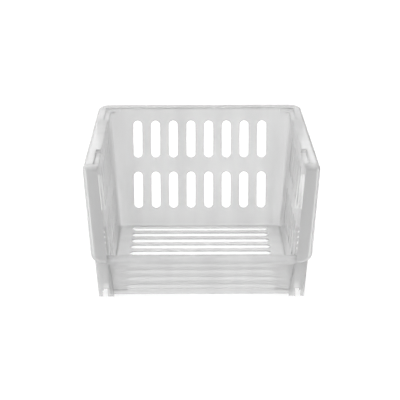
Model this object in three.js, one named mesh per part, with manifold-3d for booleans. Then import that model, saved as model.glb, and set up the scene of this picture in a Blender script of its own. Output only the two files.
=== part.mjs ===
// Open-front stacking bin for a fridge shelf: one clear moulding, drawn as its regions.
// Millimetres, +Z up, the open front faces -Y, and the origin is under the middle of the bin.
// Every region is a solid of its own, and a seam of `gap` parts it from its neighbours.
import * as THREE from "three";
import { mergeVertices } from "three/addons/utils/BufferGeometryUtils.js";
import Module from "manifold-3d";

const wasm = await Module();
wasm.setup();

// ---- Driving dimensions ----------------------------------------------------------------

const width = 300; // across the rim
const depth = 294; // front face to back of the rim
const height = 184; // feet to top of the rim
const wall = 2; // skin of every wall, flange and leg
const gap = 0.3; // seam between two regions

const railWidth = 18.5; // flange on each side, from the wall's inner face outwards
const backRimWidth = 20; // flange along the back
const lipWidth = 14.8; // flange on the low front wall
const lipHeight = 57; // top of the low front's lip
const rollRadius = 6; // outer rounding of the rolled flange edge
const rollDrop = 7; // how far the rolled edge turns down, or back on a pillar
const shoulderRadius = 8; // side view, where the rail turns down into the pillar
const rimCornerRadius = 20; // plan, rear corners of the rim
const frameCornerRadius = 14; // front view, lower corners of the front frame

const sideDraft = 0.0706; // sideways lean of the side walls for each mm of height
const backDraft = 0.1445; // backward lean of the back wall
const pillarDraft = 0.058; // sideways lean of the pillars' outer edge
const rearCornerRadius = 14; // inner radius of the tub's rear corners
const frontCornerRadius = 4; // inner radius of the tub's low front corners

const floorTop = 8.7; // inside face of the floor
const floorThickness = 2.2;
const skirtBottom = 2.4; // the walls run on below the floor, down to here

const slotWidth = 13.4; // upright slots of the back and side walls
const slotPitch = 26.17;
const slotFootMargin = 25.3; // floor to the lower row
const slotRowGap = 20.6; // between the two rows
const slotHeadMargin = 19.1; // upper row to the top of the rim
const slotEdgeMargin = 6; // least solid wall beside the outermost slots
const floorSlotWidth = 15; // long slots of the floor, which run across it
const floorSlotPitch = 23.2;
const floorSlotEndMargin = 19; // side wall to a slot's round end
const floorSlotBackMargin = 8.2;
const floorSlotFrontMargin = 1.8;

const legWidth = 14.5; // how far a leg stands out from the side wall
const legDepth = 20.5; // front to back
const toeInset = 6; // the leg's sole reaches this far in under the side wall
const toeBlend = 2; // and this far in higher up
const notchWidth = 6.5; // notch across each foot
const notchHeight = 11;
const notchFromWall = 3; // side wall's outer face to the notch

const seatDepth = 5; // recess in the rail that takes a foot of the bin above
const seatWidth = 6; // from the rail's inner edge outwards
const seatClearance = 1; // front and back of a foot in its seat
const seatLength = 61; // longer than a foot, so the bin above can be set further back
const rearSeatMargin = 1.5; // rear seats' far ends to the top of the back wall

const arcSteps = 4; // straight steps in each rounded corner
const rollSteps = 4; // straight steps across the rolled edge

// ---- Places that follow from them ------------------------------------------------------

const front = -depth / 2;
const back = depth / 2;
const frontWallOuter = front + lipWidth - wall;
const frontWallInner = front + lipWidth;
const plateUnder = height - wall; // underside of the rim's flat
const rimBottom = height - rollDrop;
const seatFloor = height - seatDepth;
const seatUnder = seatFloor - wall;
const lipBottom = lipHeight - rollDrop;
const beyond = 40; // cutters run this far past what they cut

const innerX = (z) => width / 2 - railWidth - sideDraft * (height - z);
const outerX = (z) => innerX(z) + wall;
const innerBack = (z) => back - backRimWidth - backDraft * (height - z);
const frameX = (z) => width / 2 - pillarDraft * Math.max(0, height - rollRadius - z);

const slotHeight = (height - floorTop - slotFootMargin - slotRowGap - slotHeadMargin) / 2;
const slotRows = [
  floorTop + slotFootMargin + slotHeight / 2,
  height - slotHeadMargin - slotHeight / 2,
];

const shoulderSpan = Math.max(shoulderRadius, rollDrop);
const legNear = frontWallOuter - wall - gap; // a front leg's near plate lies on the front wall
const rearSeatEnd = innerBack(height) - rearSeatMargin;
const seatNears = [legNear - seatClearance, rearSeatEnd - seatLength];
const seats = seatNears.map((near) => [near, near + seatLength]);
const legs = seatNears.map((near) => [near + seatClearance, near + seatClearance + legDepth]);
const cornerStart = innerBack(height) - rearCornerRadius;
const innerCornerX = innerX(height) - rearCornerRadius;
const seatOuterX = innerX(height) + seatWidth;

// ---- Making and cutting solids ---------------------------------------------------------

function outline(points) {
  return new THREE.Shape(points.map(([a, b]) => new THREE.Vector2(a, b)));
}

function extrudeUp(shape, low, high) {
  const settings = { depth: high - low, bevelEnabled: false, curveSegments: arcSteps };
  return new THREE.ExtrudeGeometry(shape, settings).translate(0, 0, low);
}

// A shape drawn in X and Z, carried along Y.
function extrudeBack(shape, near, far) {
  return extrudeUp(shape, 0, far - near)
    .rotateX(Math.PI / 2)
    .translate(0, far, 0);
}

// A shape drawn in Y and Z, carried along X.
const sideways = new THREE.Matrix4().makeBasis(
  new THREE.Vector3(0, 1, 0),
  new THREE.Vector3(0, 0, 1),
  new THREE.Vector3(1, 0, 0),
);
function extrudeAcross(shape, left, right) {
  return extrudeUp(shape, left, right).applyMatrix4(sideways);
}

// Moves each vertex sideways and backwards by what `shift` returns for it.
function lean(geometry, shift) {
  const p = geometry.attributes.position;
  for (let i = 0; i < p.count; i++) {
    const [dx, dy] = shift(p.getX(i), p.getY(i), p.getZ(i));
    p.setXYZ(i, p.getX(i) + dx, p.getY(i) + dy, p.getZ(i));
  }
  return geometry;
}

function solid(geometry) {
  const bare = geometry.index ? geometry.toNonIndexed() : geometry.clone();
  bare.deleteAttribute("normal");
  bare.deleteAttribute("uv");
  const merged = mergeVertices(bare, 1e-4);
  return new wasm.Manifold(
    new wasm.Mesh({
      numProp: 3,
      vertProperties: new Float32Array(merged.attributes.position.array),
      triVerts: new Uint32Array(merged.index.array),
    }),
  );
}

function block([x0, x1], [y0, y1], [z0, z1]) {
  const box = new THREE.BoxGeometry(x1 - x0, y1 - y0, z1 - z0);
  return solid(box.translate((x0 + x1) / 2, (y0 + y1) / 2, (z0 + z1) / 2));
}

function join(...solids) {
  return solids.reduce((a, b) => a.add(b));
}

function cut(body, ...tools) {
  return tools.reduce((a, b) => a.subtract(b), body);
}

// ---- Slots and rolled edges ------------------------------------------------------------

// A slot with round ends, `long` along the shape's first axis or its second.
function slot(a, b, across, long, upright) {
  const r = across / 2;
  const run = long / 2 - r;
  const path = new THREE.Path();
  if (upright) {
    path.absarc(a, b + run, r, 0, Math.PI, false);
    path.absarc(a, b - run, r, Math.PI, 2 * Math.PI, false);
  } else {
    path.absarc(a + run, b, r, -Math.PI / 2, Math.PI / 2, false);
    path.absarc(a - run, b, r, Math.PI / 2, (3 * Math.PI) / 2, false);
  }
  path.closePath();
  return path;
}

// As many places a pitch apart as fit between two ends, set out from the middle.
function spread(low, high, pitch, size) {
  const count = Math.floor((high - low - size) / pitch + 1e-6) + 1;
  const first = (low + high) / 2 - ((count - 1) * pitch) / 2;
  return Array.from({ length: count }, (_, i) => first + i * pitch);
}

// A shell with its face at z = 0 and its edge rolled down. `shape` is where the roll starts.
function rolledShell(shape, deep) {
  const skin = (inset) => {
    const roll = rollRadius - inset;
    const settings = {
      depth: deep,
      bevelThickness: roll,
      bevelSize: roll,
      bevelSegments: rollSteps,
      curveSegments: arcSteps,
    };
    return new THREE.ExtrudeGeometry(shape, settings).translate(0, 0, -deep - rollRadius);
  };
  return { outer: skin(0), inner: skin(wall) };
}

// The bin's hollow, or with `grow` the tub's outside: straight walls that lean, round corners.
function tub(grow, low, high) {
  const nearCorner = frontCornerRadius + grow;
  const farCorner = rearCornerRadius + grow;
  const x = innerX(0) + grow;
  const near = frontWallInner - grow;
  const far = innerBack(0) + grow;
  const plan = new THREE.Shape();
  plan.absarc(x - nearCorner, near + nearCorner, nearCorner, -Math.PI / 2, 0, false);
  plan.absarc(x - farCorner, far - farCorner, farCorner, 0, Math.PI / 2, false);
  plan.absarc(-x + farCorner, far - farCorner, farCorner, Math.PI / 2, Math.PI, false);
  plan.absarc(-x + nearCorner, near + nearCorner, nearCorner, Math.PI, 1.5 * Math.PI, false);
  plan.closePath();
  const middle = (near + far) / 2;
  return solid(
    lean(extrudeUp(plan, low, high), (px, py, pz) => [
      Math.sign(px) * sideDraft * pz,
      py > middle ? backDraft * pz : 0,
    ]),
  );
}

// Everything between the side walls' inner faces, or their outer faces, from front to back.
function betweenWalls(halfWidth, near, far, low, high) {
  const face = outline([
    [-halfWidth(low), low],
    [halfWidth(low), low],
    [halfWidth(high), high],
    [-halfWidth(high), high],
  ]);
  return solid(extrudeBack(face, near, far));
}

// The open space over the lip: the tub's hollow, and the way in from the front.
const opening = join(
  tub(0, lipHeight, height + beyond),
  betweenWalls(innerX, front - beyond, 0, lipHeight, height + beyond),
);

// ---- The rim and the front frame: one rolled section, carried round the opening --------

// In plan: the flat of the rim, its rolled edge and its round rear corners.
function rimShell() {
  const x = width / 2 - rollRadius;
  const far = back - rollRadius;
  const r = rimCornerRadius - rollRadius;
  const plan = new THREE.Shape();
  plan.moveTo(-x, front - beyond);
  plan.lineTo(x, front - beyond);
  plan.absarc(x - r, far - r, r, 0, Math.PI / 2, false);
  plan.absarc(-x + r, far - r, r, Math.PI / 2, Math.PI, false);
  plan.closePath();
  const { outer, inner } = rolledShell(plan, beyond);
  const drop = ([g, top]) => solid(leanFrame(g.translate(0, 0, top)));
  const shell = cut(drop([outer, height]), drop([inner, height]));
  const keep = block([-width, width], [front - depth, back + depth], [rimBottom, height + 1]);
  return cut(shell.intersect(keep), opening);
}

// In side view: the flat of the rail, the shoulder and the front face of the pillar.
function sideShell() {
  const profile = (inset, radius) => {
    const shape = new THREE.Shape();
    const near = front + inset;
    const top = height - inset;
    shape.absarc(near + radius, top - radius, radius, Math.PI / 2, Math.PI, false);
    shape.lineTo(near, -beyond);
    shape.lineTo(back + beyond, -beyond);
    shape.lineTo(back + beyond, top);
    shape.closePath();
    return shape;
  };
  const { outer, inner } = rolledShell(
    profile(rollRadius, shoulderRadius - rollRadius),
    width - 2 * rollRadius,
  );
  const place = (g) => solid(leanFrame(g.applyMatrix4(sideways).translate(width / 2, 0, 0)));
  const core = block(
    [-width, width],
    [front + rollDrop, back + beyond],
    [-beyond, height - rollDrop],
  );
  return cut(place(outer), place(inner), core, opening);
}

// In front view: the pillars' feet, where the frame turns in towards the lip.
function frameShell() {
  const r = frameCornerRadius - rollRadius;
  const x = (z) => frameX(z) - rollRadius;
  const low = lipBottom + rollRadius;
  const face = new THREE.Shape();
  face.absarc(x(low) - r, low + r, r, -Math.PI / 2, 0, false);
  face.lineTo(x(height), height);
  face.lineTo(-x(height), height);
  face.absarc(-x(low) + r, low + r, r, Math.PI, 1.5 * Math.PI, false);
  face.closePath();
  const { outer, inner } = rolledShell(face, beyond);
  const place = (g) => solid(g.rotateX(Math.PI / 2).translate(0, front, 0));
  return cut(place(outer), place(inner));
}

function leanFrame(geometry) {
  return lean(geometry, (x, y, z) => [Math.sign(x) * (frameX(z) - width / 2), 0]);
}

// ---- The regions -----------------------------------------------------------------------

// What a seat leaves open for a foot, and what its tray takes out of the walls under it.
const seatSpaces = seats.map(([y0, y1]) =>
  block([0, seatOuterX], [y0, y1], [seatFloor, height + beyond]),
);
const trayRooms = seats.map(([y0, y1]) =>
  block([0, width], [y0 - wall - gap, y1 + wall + gap], [seatUnder - gap, height]),
);

function floorGrille() {
  const low = floorTop - floorThickness;
  const x = innerX(low) - gap;
  const near = frontWallInner + gap;
  const far = innerBack(low) - gap;
  const plan = new THREE.Shape();
  const rn = frontCornerRadius - gap;
  const rf = rearCornerRadius - gap;
  plan.absarc(x - rn, near + rn, rn, -Math.PI / 2, 0, false);
  plan.absarc(x - rf, far - rf, rf, 0, Math.PI / 2, false);
  plan.absarc(-x + rf, far - rf, rf, Math.PI / 2, Math.PI, false);
  plan.absarc(-x + rn, near + rn, rn, Math.PI, 1.5 * Math.PI, false);
  plan.closePath();
  const reach = innerX(floorTop) - floorSlotEndMargin;
  const last = innerBack(floorTop) - floorSlotBackMargin - floorSlotWidth / 2;
  const first = frontWallInner + floorSlotFrontMargin + floorSlotWidth / 2;
  for (let y = last; y >= first; y -= floorSlotPitch)
    plan.holes.push(slot(0, y, floorSlotWidth, 2 * reach, false));
  return extrudeUp(plan, low, floorTop);
}

function backWall() {
  const x = (z) => innerX(z) - rearCornerRadius - gap;
  const top = plateUnder - gap;
  const face = outline([
    [-x(skirtBottom), skirtBottom],
    [x(skirtBottom), skirtBottom],
    [x(top), top],
    [-x(top), top],
  ]);
  const half = x(slotRows[0] - slotHeight / 2) - slotEdgeMargin;
  for (const column of spread(-half, half, slotPitch, slotWidth))
    for (const row of slotRows) face.holes.push(slot(column, row, slotWidth, slotHeight, true));
  return lean(extrudeBack(face, 0, wall), (x_, y, z) => [0, innerBack(z)]);
}

// A panel behind the pillar's front face, over the lip and back to the tub's rear corner.
function sideWall() {
  const top = plateUnder - gap;
  const rear = (z) => innerBack(z) - rearCornerRadius - gap;
  const lowNear = frontWallInner + frontCornerRadius + gap;
  const highNear = front + wall + gap;
  const r = shoulderRadius - wall - gap;
  const face = new THREE.Shape();
  face.moveTo(lowNear, skirtBottom);
  face.lineTo(rear(skirtBottom), skirtBottom);
  face.lineTo(rear(top), top);
  face.absarc(highNear + r, top - r, r, Math.PI / 2, Math.PI, false);
  face.lineTo(highNear, lipHeight + gap);
  face.lineTo(lowNear, lipHeight + gap);
  face.closePath();
  const near = legs[0][1] + slotEdgeMargin;
  const far = legs[1][0] - slotEdgeMargin;
  for (const column of spread(near, far, slotPitch, slotWidth))
    for (const row of slotRows) face.holes.push(slot(column, row, slotWidth, slotHeight, true));
  const panel = lean(extrudeAcross(face, 0, wall), (x, y, z) => [innerX(z), 0]);
  return cut(solid(panel), ...trayRooms);
}

function frontWall() {
  const x = (z) => innerX(z) - frontCornerRadius - gap;
  const top = lipHeight - wall - gap;
  const face = outline([
    [-x(skirtBottom), skirtBottom],
    [x(skirtBottom), skirtBottom],
    [x(top), top],
    [-x(top), top],
  ]);
  return extrudeBack(face, frontWallOuter, frontWallInner);
}

// A quarter of a tube that leans with the walls it joins.
function cornerPost(radius, low, high, centreY, quarter, backLean) {
  const ring = new THREE.Shape();
  ring.absarc(0, 0, radius + wall, quarter, quarter + Math.PI / 2, false);
  ring.absarc(0, 0, radius, quarter + Math.PI / 2, quarter, true);
  ring.closePath();
  const post = extrudeUp(ring, low, high);
  return lean(post, (x, y, z) => [innerX(z) - radius, centreY + backLean * z]);
}

function rearCorner() {
  const centreY = innerBack(0) - rearCornerRadius;
  return cornerPost(rearCornerRadius, skirtBottom, seatUnder - gap, centreY, 0, backDraft);
}

function frontCorner() {
  const centreY = frontWallInner + frontCornerRadius;
  const top = lipHeight - wall - gap;
  return cornerPost(frontCornerRadius, skirtBottom, top, centreY, -Math.PI / 2, 0);
}

// The lip's section: a flat on the low front wall that rolls over and turns down.
function frontLip() {
  const top = lipHeight;
  const section = new THREE.Shape();
  section.moveTo(frontWallInner, top - wall);
  section.lineTo(frontWallInner, top);
  section.absarc(front + rollRadius, top - rollRadius, rollRadius, Math.PI / 2, Math.PI, false);
  section.lineTo(front, lipBottom);
  section.lineTo(front + wall, lipBottom);
  const inner = rollRadius - wall;
  section.absarc(front + rollRadius, top - rollRadius, inner, Math.PI, Math.PI / 2, true);
  section.closePath();
  const reach = innerX(lipBottom) - gap;
  return extrudeAcross(section, -reach, reach);
}

// A channel of three plates outside the side wall, with a notch across its sole.
function leg([near, far]) {
  const top = seatUnder - gap;
  const outside = (z) => outerX(z) + legWidth;
  const profile = outline([
    [outerX(0) - toeInset, 0],
    [outside(0), 0],
    [outside(top), top],
    [outerX(top) - toeBlend, top],
    [outerX(lipBottom) - toeBlend, lipBottom],
  ]);
  const hollow = outline([
    [0, -beyond],
    [outside(-beyond) - wall, -beyond],
    [outside(top + beyond) - wall, top + beyond],
    [0, top + beyond],
  ]);
  const notch = [outerX(0) + notchFromWall, outerX(0) + notchFromWall + notchWidth];
  return cut(
    solid(extrudeBack(profile, near, far)),
    solid(extrudeBack(hollow, near + wall, far - wall)),
    block(notch, [near - 1, far + 1], [-1, notchHeight]),
    tub(wall + gap, -1, height),
    betweenWalls((z) => outerX(z) + gap, front, frontWallInner, lipHeight, height),
  );
}

// A tray under the rail that carries one foot of the bin above, open towards the inside.
function seatTray(index) {
  const [y0, y1] = seats[index];
  const across = [innerCornerX + gap, seatOuterX + wall];
  const tray = block(across, [y0 - wall, y1 + wall], [seatUnder, plateUnder - gap]);
  return cut(tray, opening, seatSpaces[index]);
}

// ---- Colours and assembly --------------------------------------------------------------

const clearPlastic = new THREE.MeshStandardMaterial({
  color: 0xe6e8e8,
  roughness: 0.28,
  metalness: 0,
  transparent: true,
  opacity: 0.55,
});

const bin = new THREE.Group();

function geometryOf(body) {
  const mesh = body.getMesh();
  const geometry = new THREE.BufferGeometry();
  geometry.setAttribute("position", new THREE.BufferAttribute(mesh.vertProperties, 3));
  geometry.setIndex(new THREE.BufferAttribute(mesh.triVerts, 1));
  geometry.computeVertexNormals();
  return geometry;
}

function add(name, shape) {
  const geometry = shape.isBufferGeometry ? shape : geometryOf(shape);
  const mesh = new THREE.Mesh(geometry, clearPlastic);
  mesh.name = name;
  bin.add(mesh);
  return mesh;
}

// The same region on both sides, drawn on the right and mirrored for the left.
function addPair(name, shape) {
  add("right_" + name, shape);
  add("left_" + name, shape).scale.x = -1;
}

const rim = rimShell();
const side = sideShell();
const frame = frameShell();
const shoulderEnd = front + shoulderSpan;
const shoulderFoot = height - shoulderSpan;
const frameTurn = lipBottom + frameCornerRadius;
const farRight = [0, width];
const allHigh = [rimBottom - beyond, height + 1];

add("floor_grille", floorGrille());
add("back_wall", backWall());
addPair("side_wall", sideWall());
add("front_wall", frontWall());
addPair("rear_corner", rearCorner());
addPair("front_corner", frontCorner());
add("front_lip", frontLip());
add(
  "back_rim",
  rim.intersect(block([-innerCornerX, innerCornerX], [cornerStart, back + 1], allHigh)),
);
addPair(
  "rim_corner",
  cut(
    rim.intersect(block([innerCornerX + gap, width], [cornerStart + gap, back + 1], allHigh)),
    ...seatSpaces,
  ),
);
addPair(
  "rail",
  cut(side.intersect(block(farRight, [shoulderEnd, cornerStart], allHigh)), ...seatSpaces),
);
addPair(
  "shoulder",
  side.intersect(block(farRight, [front - 1, shoulderEnd - gap], [shoulderFoot, height + 1])),
);
addPair(
  "pillar",
  side.intersect(
    block(farRight, [front - 1, shoulderEnd], [frameTurn + gap, shoulderFoot - gap]),
  ),
);
addPair(
  "frame_corner",
  frame.intersect(
    block([innerX(lipHeight) + gap, width], [front - 1, front + rollDrop], [0, frameTurn]),
  ),
);
addPair("front_leg", leg(legs[0]));
addPair("rear_leg", leg(legs[1]));
addPair("front_seat", seatTray(0));
addPair("rear_seat", seatTray(1));

export default bin;
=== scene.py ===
import math

import bmesh
import bpy
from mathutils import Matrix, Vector


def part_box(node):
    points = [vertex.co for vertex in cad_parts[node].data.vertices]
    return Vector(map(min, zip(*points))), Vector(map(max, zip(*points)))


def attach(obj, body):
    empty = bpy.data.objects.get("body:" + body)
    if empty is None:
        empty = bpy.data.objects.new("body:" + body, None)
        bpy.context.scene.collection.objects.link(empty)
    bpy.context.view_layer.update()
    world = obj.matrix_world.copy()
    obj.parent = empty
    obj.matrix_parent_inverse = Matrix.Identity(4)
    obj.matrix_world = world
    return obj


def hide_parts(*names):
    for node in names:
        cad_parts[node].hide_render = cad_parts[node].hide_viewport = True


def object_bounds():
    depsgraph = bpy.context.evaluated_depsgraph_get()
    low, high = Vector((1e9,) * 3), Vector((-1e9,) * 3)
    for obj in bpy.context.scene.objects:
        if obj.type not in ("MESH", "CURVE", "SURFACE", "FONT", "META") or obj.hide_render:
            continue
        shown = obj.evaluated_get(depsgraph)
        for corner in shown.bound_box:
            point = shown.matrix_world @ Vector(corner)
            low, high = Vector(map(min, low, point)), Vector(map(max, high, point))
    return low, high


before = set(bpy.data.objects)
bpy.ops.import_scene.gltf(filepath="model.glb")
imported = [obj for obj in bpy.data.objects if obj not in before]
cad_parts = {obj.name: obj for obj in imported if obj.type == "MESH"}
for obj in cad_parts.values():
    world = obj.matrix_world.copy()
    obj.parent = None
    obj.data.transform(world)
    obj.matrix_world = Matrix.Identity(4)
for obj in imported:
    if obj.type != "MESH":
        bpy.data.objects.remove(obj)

cad_low, cad_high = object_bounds()

# The camera. It looks down at the open front from a little above the rim, through a long lens,
# and stands a little to the left of the middle.
camera_data = bpy.data.cameras.new("camera")
camera_data.sensor_width = 36
camera_data.lens = 106.56
camera = bpy.data.objects.new("camera", camera_data)
camera.location = (-0.0147, cad_low.y - 1.411, 0.6523)
camera.rotation_euler = (math.radians(70), 0, math.radians(-0.51))
bpy.context.collection.objects.link(camera)
bpy.context.scene.camera = camera
bpy.context.scene.view_settings.view_transform = "Standard"

# The studio. A white sheet, lit from below, lies under the bin and fills the view behind it.
# The light is soft and comes from above and a little to the left, and the walls are dim.
room = bpy.data.worlds.new("room")
room.use_nodes = True
room_nodes, room_links = room.node_tree.nodes, room.node_tree.links
compass = room_nodes.new("ShaderNodeTexCoord")
toward_light = room_nodes.new("ShaderNodeVectorMath")
toward_light.operation = "DOT_PRODUCT"
toward_light.inputs[1].default_value = Vector((-0.35, 0.15, 0.92)).normalized()
room_links.new(compass.outputs["Generated"], toward_light.inputs[0])
falloff = room_nodes.new("ShaderNodeMapRange")
falloff.interpolation_type = "SMOOTHSTEP"
falloff.inputs["From Min"].default_value = 0
falloff.inputs["From Max"].default_value = 0.8
falloff.inputs["To Min"].default_value = 0.3
falloff.inputs["To Max"].default_value = 1.4
room_links.new(toward_light.outputs["Value"], falloff.inputs["Value"])
room_links.new(falloff.outputs["Result"], room_nodes["Background"].inputs["Strength"])
room_nodes["Background"].inputs["Color"].default_value = (1, 1, 1, 1)
bpy.context.scene.world = room

paper = bpy.data.materials.new("white_paper")
paper.use_nodes = True
paper_shader = paper.node_tree.nodes["Principled BSDF"]
paper_shader.inputs["Base Color"].default_value = (0.3, 0.3, 0.3, 1)
paper_shader.inputs["Roughness"].default_value = 0.9
paper_shader.inputs["Emission Color"].default_value = (1, 1, 1, 1)
paper_shader.inputs["Emission Strength"].default_value = 0.78

sweep_shape = bmesh.new()
bmesh.ops.create_grid(sweep_shape, x_segments=1, y_segments=1, size=6)
sweep_mesh = bpy.data.meshes.new("floor")
sweep_shape.to_mesh(sweep_mesh)
sweep_shape.free()
sweep_mesh.materials.append(paper)
sweep = bpy.data.objects.new("floor", sweep_mesh)
bpy.context.collection.objects.link(sweep)


# The plastic. Clear polypropylene comes out of the mould a little milky: light passes, but some
# of it scatters. Faint upright flow marks and a fine grain from the steel show in its gloss.
plastic = bpy.data.materials.new("clear_plastic")
plastic.use_nodes = True
nodes, links = plastic.node_tree.nodes, plastic.node_tree.links
shader = nodes["Principled BSDF"]
shader.inputs["Transmission Weight"].default_value = 0.62
shader.inputs["IOR"].default_value = 1.46
shader.inputs["Specular IOR Level"].default_value = 0.5
place = nodes.new("ShaderNodeTexCoord")

stretch = nodes.new("ShaderNodeMapping")
stretch.inputs["Scale"].default_value = (1, 1, 0.08)
links.new(place.outputs["Object"], stretch.inputs["Vector"])
flow = nodes.new("ShaderNodeTexNoise")
flow.inputs["Scale"].default_value = 38
flow.inputs["Detail"].default_value = 2
links.new(stretch.outputs["Vector"], flow.inputs["Vector"])
milk = nodes.new("ShaderNodeMapRange")
milk.inputs["From Min"].default_value = 0.3
milk.inputs["From Max"].default_value = 0.7
milk.inputs["To Min"].default_value = 0.83
milk.inputs["To Max"].default_value = 0.91
links.new(flow.outputs["Fac"], milk.inputs["Value"])
links.new(milk.outputs["Result"], shader.inputs["Base Color"])
flow_marks = nodes.new("ShaderNodeBump")
flow_marks.inputs["Strength"].default_value = 0.3
flow_marks.inputs["Distance"].default_value = 0.001
links.new(flow.outputs["Fac"], flow_marks.inputs["Height"])

grain = nodes.new("ShaderNodeTexNoise")
grain.inputs["Scale"].default_value = 420
grain.inputs["Detail"].default_value = 3
links.new(place.outputs["Object"], grain.inputs["Vector"])
haze = nodes.new("ShaderNodeMapRange")
haze.inputs["To Min"].default_value = 0.05
haze.inputs["To Max"].default_value = 0.12
links.new(grain.outputs["Fac"], haze.inputs["Value"])
links.new(haze.outputs["Result"], shader.inputs["Roughness"])
relief = nodes.new("ShaderNodeBump")
relief.inputs["Strength"].default_value = 0.1
relief.inputs["Distance"].default_value = 0.0002
links.new(grain.outputs["Fac"], relief.inputs["Height"])
links.new(flow_marks.outputs["Normal"], relief.inputs["Normal"])
links.new(relief.outputs["Normal"], shader.inputs["Normal"])

# The tub: four leaning walls and a floor, one skin two millimetres thick. The walls run on
# below the floor as a skirt, the front one is low, and slots let the cold air through.
skin = 0.002
side_low, side_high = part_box("right_side_wall")
back_low, back_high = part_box("back_wall")
front_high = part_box("front_wall")[1]
floor_low, floor_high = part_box("floor_grille")
lip_low, lip_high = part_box("front_lip")
side_draft = (side_high.x - skin - side_low.x) / (side_high.z - side_low.z)
back_draft = (back_high.y - skin - back_low.y) / (back_high.z - back_low.z)
rear_radius = 0.014
front_radius = 0.004


def half_inside(z):
    return side_low.x + side_draft * (z - side_low.z)


def back_inside(z):
    return back_low.y + back_draft * (z - back_low.z)


def new_block(corner_place):
    block = bmesh.new()
    bmesh.ops.create_cube(block, size=2)
    for corner in block.verts:
        corner.co = corner_place(*corner.co)
    return block


def round_edges(block, radius, segments, wanted):
    edges = [edge for edge in block.edges if wanted(*(v.co for v in edge.verts))]
    bmesh.ops.bevel(block, geom=edges, offset=radius, offset_type="OFFSET", segments=segments,
                    profile=0.5, affect="EDGES", material=-1, clamp_overlap=False)


def finished(block, name):
    bmesh.ops.recalc_face_normals(block, faces=block.faces)
    if block.calc_volume(signed=True) < 0:
        bmesh.ops.reverse_faces(block, faces=block.faces)
    mesh = bpy.data.meshes.new(name)
    block.to_mesh(mesh)
    block.free()
    piece = bpy.data.objects.new(name, mesh)
    bpy.context.collection.objects.link(piece)
    return piece


def put_in_order(mesh):
    """Sorts a mesh by place, because a cut gives its points back in a different order each time."""
    slant = Vector((0.7548776, 0.5698403, 0.3247180))
    ordered = bmesh.new()
    ordered.from_mesh(mesh)
    ordered.verts.sort(key=lambda vert: vert.co.dot(slant))
    ordered.edges.sort(key=lambda edge: (edge.verts[0].co + edge.verts[1].co).dot(slant))
    ordered.faces.sort(key=lambda face: face.calc_center_median().dot(slant))
    ordered.to_mesh(mesh)
    ordered.free()


def combine(body, tool, operation):
    step = body.modifiers.new("step", "BOOLEAN")
    step.operation = operation
    step.solver = "EXACT"
    step.object = tool
    depsgraph = bpy.context.evaluated_depsgraph_get()
    shaped = bpy.data.meshes.new_from_object(body.evaluated_get(depsgraph))
    put_in_order(shaped)
    body.modifiers.clear()
    body.data = shaped
    bpy.data.objects.remove(tool)


def plain_block(name, low, high):
    return finished(new_block(lambda x, y, z: (
        low[0] if x < 0 else high[0], low[1] if y < 0 else high[1], low[2] if z < 0 else high[2],
    )), name)


def tub_space(name, grow, fore, low, high, step=None, foot=0):
    """The room inside the walls, or their outside with `grow`. Below `step` the front wall ends it."""
    space = finished(new_block(lambda x, y, z: (
        x * (half_inside(low if z < 0 else high) + grow),
        fore if y < 0 else back_inside(low if z < 0 else high) + grow,
        low if z < 0 else high,
    )), name)
    near = front_high.y - grow
    if step:
        below_lip = plain_block("below_lip", (-0.3, fore - 0.1, low - 0.1), (0.3, near, step))
        combine(space, below_lip, "DIFFERENCE")
    rounded = bmesh.new()
    rounded.from_mesh(space.data)
    upright = lambda a, b: abs(a.z - b.z) > 0.01
    round_edges(rounded, rear_radius + grow, 8, lambda a, b: upright(a, b) and min(a.y, b.y) > 0)
    if step:
        round_edges(rounded, front_radius + grow, 4, lambda a, b: (
            upright(a, b) and max(abs(a.y - near), abs(b.y - near)) < 1e-4
            and max(a.z, b.z) < step + 1e-4))
    if foot:
        round_edges(rounded, foot, 4, lambda a, b: max(a.z, b.z) < low + 1e-4)
    rounded.to_mesh(space.data)
    rounded.free()
    return space


def cut_slots(places, width, length, reach, turn):
    """Cuts one slot with round ends through the tub at each place. `turn` lays it in its wall."""
    for across, along in places:
        slot = bmesh.new()
        bmesh.ops.create_circle(slot, cap_ends=True, segments=24, radius=width / 2)
        for vert in slot.verts:
            if abs(vert.co.y) > 1e-6:
                vert.co.y += math.copysign((length - width) / 2, vert.co.y)
        grown = bmesh.ops.extrude_face_region(slot, geom=slot.faces[:])["geom"]
        bmesh.ops.translate(slot, verts=[g for g in grown if isinstance(g, bmesh.types.BMVert)],
                            vec=(0, 0, reach[1] - reach[0]))
        for vert in slot.verts:
            vert.co = turn(vert.co.x + across, vert.co.y + along, vert.co.z + reach[0])
        combine(tub, finished(slot, "slot"), "DIFFERENCE")


seam = 0.0001
wall_top = cad_high.z - skin - seam
lip_seat = lip_high.z - skin - seam
tub = tub_space("tub", skin, side_low.y, side_low.z, wall_top, lip_high.z + seam)
combine(tub, tub_space("hollow", 0, -0.25, floor_high.z, 0.25, lip_seat, 0.003), "DIFFERENCE")
combine(tub, tub_space("under_floor", 0, -0.25, -0.02, floor_low.z, 0.05), "DIFFERENCE")

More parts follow.
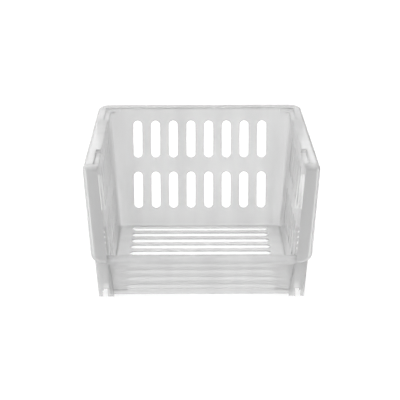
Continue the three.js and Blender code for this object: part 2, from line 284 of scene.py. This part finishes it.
slot_width, slot_length, slot_pitch = 0.0134, 0.05515, 0.02617
slot_foot_margin, slot_head_margin, side_slots_middle = 0.0253, 0.0191, -0.02525
floor_slot_width, floor_slot_length, floor_slot_pitch = 0.015, 0.2002, 0.0232
floor_slot_start = 0.0157
rows = (floor_high.z + slot_foot_margin + slot_length / 2,
        cad_high.z - slot_head_margin - slot_length / 2)
back_columns = [(i - 3.5) * slot_pitch for i in range(8)]
side_columns = [side_slots_middle + (i - 2.5) * slot_pitch for i in range(6)]
floor_rows = [back_inside(floor_high.z) - floor_slot_start - floor_slot_pitch * i for i in range(10)]
cut_slots([(x, z) for x in back_columns for z in rows], slot_width, slot_length, (0.08, 0.16),
          lambda a, b, c: (a, c, b))
cut_slots([(y, z) for y in side_columns for z in rows], slot_width, slot_length, (-0.16, 0.16),
          lambda a, b, c: (c, a, b))
cut_slots([(y, 0) for y in floor_rows], floor_slot_width, floor_slot_length, (0, 0.02),
          lambda a, b, c: (b, a, c))

for side in (1, -1):
    for seat in ("right_front_seat", "right_rear_seat"):
        low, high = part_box(seat)
        combine(tub, finished(new_block(lambda x, y, z: (
            side * (low.x - seam if x < 0 else 0.16),
            low.y - seam if y < 0 else high.y + seam + (0.003 if seat == "right_rear_seat" else 0),
            low.z - seam if z < 0 else 0.2,
        )), "seat_room"), "DIFFERENCE")


def polish(piece, edge=0.0004):
    """Softens the mould's edges and lets the long faces shade smoothly."""
    tidy = bmesh.new()
    tidy.from_mesh(piece.data)
    bmesh.ops.remove_doubles(tidy, verts=tidy.verts, dist=2e-5)
    bmesh.ops.dissolve_degenerate(tidy, edges=tidy.edges, dist=1e-5)
    bmesh.ops.dissolve_limit(tidy, angle_limit=math.radians(0.5), verts=tidy.verts, edges=tidy.edges)
    bmesh.ops.holes_fill(tidy, edges=[edge for edge in tidy.edges if edge.is_boundary], sides=3)
    tidy.to_mesh(piece.data)
    tidy.free()
    piece.data.shade_smooth()
    piece.data.set_sharp_from_angle(angle=math.radians(28))
    if edge:
        soft = piece.modifiers.new("soft_edges", "BEVEL")
        soft.width = edge
        soft.segments = 2
        soft.limit_method = "ANGLE"
        soft.angle_limit = math.radians(35)
        soft.harden_normals = True
    piece.data.materials.clear()
    piece.data.materials.append(plastic)
    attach(piece, "root")


polish(tub)
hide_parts("floor_grille", "back_wall", "front_wall", "right_side_wall", "left_side_wall",
            "right_rear_corner", "left_rear_corner", "right_front_corner", "left_front_corner")

# The rim: one rolled flange that runs round the opening. It lies flat on the walls, turns down
# at the shoulders into the two front pillars, and comes back across as the lip.
roll_radius, roll_drop, shoulder_radius = 0.006, 0.007, 0.008
pillar_draft, bend = 0.058, cad_high.z - 0.0085


def rounded_body(name, inset):
    block = new_block(lambda x, y, z: (
        x * (cad_high.x - inset),
        cad_low.y + inset if y < 0 else cad_high.y - inset,
        lip_low.z + inset if z < 0 else cad_high.z - inset,
    ))
    bmesh.ops.bisect_plane(block, geom=block.verts[:] + block.edges[:] + block.faces[:],
                           plane_co=(0, 0, bend), plane_no=(0, 0, 1))
    for vert in block.verts:
        if vert.co.z < bend - 1e-5:
            vert.co.x -= math.copysign(pillar_draft * (bend - vert.co.z), vert.co.x)
    upright = lambda a, b: abs(a.z - b.z) > 0.001
    at_front = lambda p: p.y < cad_low.y + inset + 1e-5
    round_edges(block, 0.020 - inset, 8, lambda a, b: upright(a, b) and a.y > 0 and b.y > 0)
    round_edges(block, 0.014 - inset, 8,
                lambda a, b: abs(a.y - b.y) > 0.1 and max(a.z, b.z) < lip_low.z + inset + 1e-5)
    round_edges(block, shoulder_radius - inset, 8,
                lambda a, b: at_front(a) and at_front(b) and min(a.z, b.z) > cad_high.z - inset - 1e-5)
    block.normal_update()
    shown = lambda f: abs(f.normal.x) < 0.02 and (f.normal.z > 0.02 or f.normal.y < -0.02)
    border = [e for e in block.edges if len({shown(f) for f in e.link_faces}) == 2]
    bmesh.ops.bevel(block, geom=border, offset=roll_radius - inset, offset_type="OFFSET", segments=6,
                    profile=0.5, affect="EDGES", material=-1, clamp_overlap=False)
    return finished(block, name)


rim = rounded_body("rim", 0)
combine(rim, rounded_body("rim_inside", skin), "DIFFERENCE")
combine(rim, plain_block("core", (-0.2, cad_low.y + roll_drop - seam, 0),
                         (0.2, 0.2, cad_high.z - roll_drop)), "DIFFERENCE")

lip = new_block(lambda x, y, z: (
    x * (half_inside(lip_high.z) + 0.0006),
    lip_low.y + seam if y < 0 else lip_high.y,
    lip_low.z + seam if z < 0 else lip_high.z,
))
round_edges(lip, roll_radius, 6,
            lambda a, b: max(a.y, b.y) < lip_low.y + 2 * seam and min(a.z, b.z) > lip_high.z - 1e-5)
lip = finished(lip, "lip")
lip_inside = new_block(lambda x, y, z: (
    x * 0.2,
    lip_low.y + skin if y < 0 else lip_high.y + 0.01,
    lip_low.z - 0.01 if z < 0 else lip_high.z - skin,
))
round_edges(lip_inside, roll_radius - skin, 6, lambda a, b: (
    max(a.y, b.y) < lip_low.y + skin + 1e-5 and min(a.z, b.z) > lip_high.z - skin - 1e-5))
combine(lip, finished(lip_inside, "lip_inside"), "DIFFERENCE")

combine(rim, tub_space("opening", 0, -0.25, lip_low.z - 0.01, 0.25), "DIFFERENCE")
for side in (1, -1):
    for seat in ("right_front_seat", "right_rear_seat"):
        low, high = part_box(seat)
        reach = side * (high.x - skin)
        combine(rim, plain_block("foot_room", (min(0, reach), low.y + skin, low.z + skin),
                                 (max(0, reach), high.y - skin, 0.2)), "DIFFERENCE")
combine(rim, lip, "UNION")
polish(rim)
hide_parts("back_rim", "front_lip", *[
    side + part for side in ("right_", "left_")
    for part in ("rim_corner", "rail", "shoulder", "pillar", "frame_corner")
])

# The seats: four shallow trays under the rails, open towards the inside. A foot of the bin above
# drops into each, and can stand further back in it.
for node in ("right_front_seat", "left_front_seat", "right_rear_seat", "left_rear_seat"):
    low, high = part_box(node)
    side = 1 if low.x > 0 else -1
    seat = plain_block(node + "_moulded", low, (high.x, high.y, cad_high.z - skin - seam))
    combine(seat, tub_space("opening", 0, -0.25, lip_low.z, 0.25), "DIFFERENCE")
    near_x, far_x = (0, high.x - skin) if side > 0 else (low.x + skin, 0)
    combine(seat, plain_block("foot_room", (near_x, low.y + skin, low.z + skin),
                              (far_x, high.y - skin, 0.25)), "DIFFERENCE")
    polish(seat)
    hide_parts(node)

# The legs: four channels that stand out from the side walls and carry the bin. Each is moulded
# on as three plates, and its sole is notched where it drops onto the bin below.
leg_width, sole_inset, shank_inset, leg_corner = 0.0145, 0.006, 0.002, 0.0012
notch_from_wall, notch_width, notch_height = 0.003, 0.0065, 0.011

for node in ("right_front_leg", "right_rear_leg"):
    low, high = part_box(node)
    for side, replaced in ((1, node), (-1, node.replace("right", "left"))):
        def edge_place(x, y, z):
            at = low.z if z < 0 else high.z
            outer = half_inside(at) + skin
            inner = outer - (sole_inset if z < 0 else shank_inset)
            return (inner if x < 0 else outer + leg_width, low.y if y < 0 else high.y, at)
        block = new_block(edge_place)
        bmesh.ops.bisect_plane(block, geom=block.verts[:] + block.edges[:] + block.faces[:],
                               plane_co=(0, 0, lip_low.z), plane_no=(0, 0, 1))
        for vert in block.verts:
            at_lip = abs(vert.co.z - lip_low.z) < 1e-5
            if at_lip and vert.co.x < half_inside(vert.co.z) + skin + 0.003:
                vert.co.x = half_inside(vert.co.z)
        round_edges(block, leg_corner, 3, lambda a, b: (
            abs(a.z - b.z) > 0.01 and min(a.x, b.x) > half_inside(0) + 0.01
            and abs(a.y - b.y) < 1e-5))
        leg = finished(block, replaced + "_moulded")
        combine(leg, finished(new_block(lambda x, y, z: (
            0 if x < 0 else half_inside(-0.01 if z < 0 else 0.2) + leg_width,
            low.y + skin if y < 0 else high.y - skin,
            -0.01 if z < 0 else 0.2,
        )), "channel"), "DIFFERENCE")
        notch = half_inside(0) + skin + notch_from_wall
        combine(leg, plain_block("notch", (notch, low.y - 0.01, -0.01),
                                 (notch + notch_width, high.y + 0.01, notch_height)), "DIFFERENCE")
        tub_room = tub_space("tub_room", skin + seam, side_low.y, -0.01, 0.2, lip_high.z)
        combine(leg, tub_room, "DIFFERENCE")
        if side < 0:
            flipped = bmesh.new()
            flipped.from_mesh(leg.data)
            bmesh.ops.scale(flipped, verts=flipped.verts, vec=(-1, 1, 1))
            bmesh.ops.recalc_face_normals(flipped, faces=flipped.faces)
            flipped.to_mesh(leg.data)
            flipped.free()
        polish(leg)
        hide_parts(replaced)
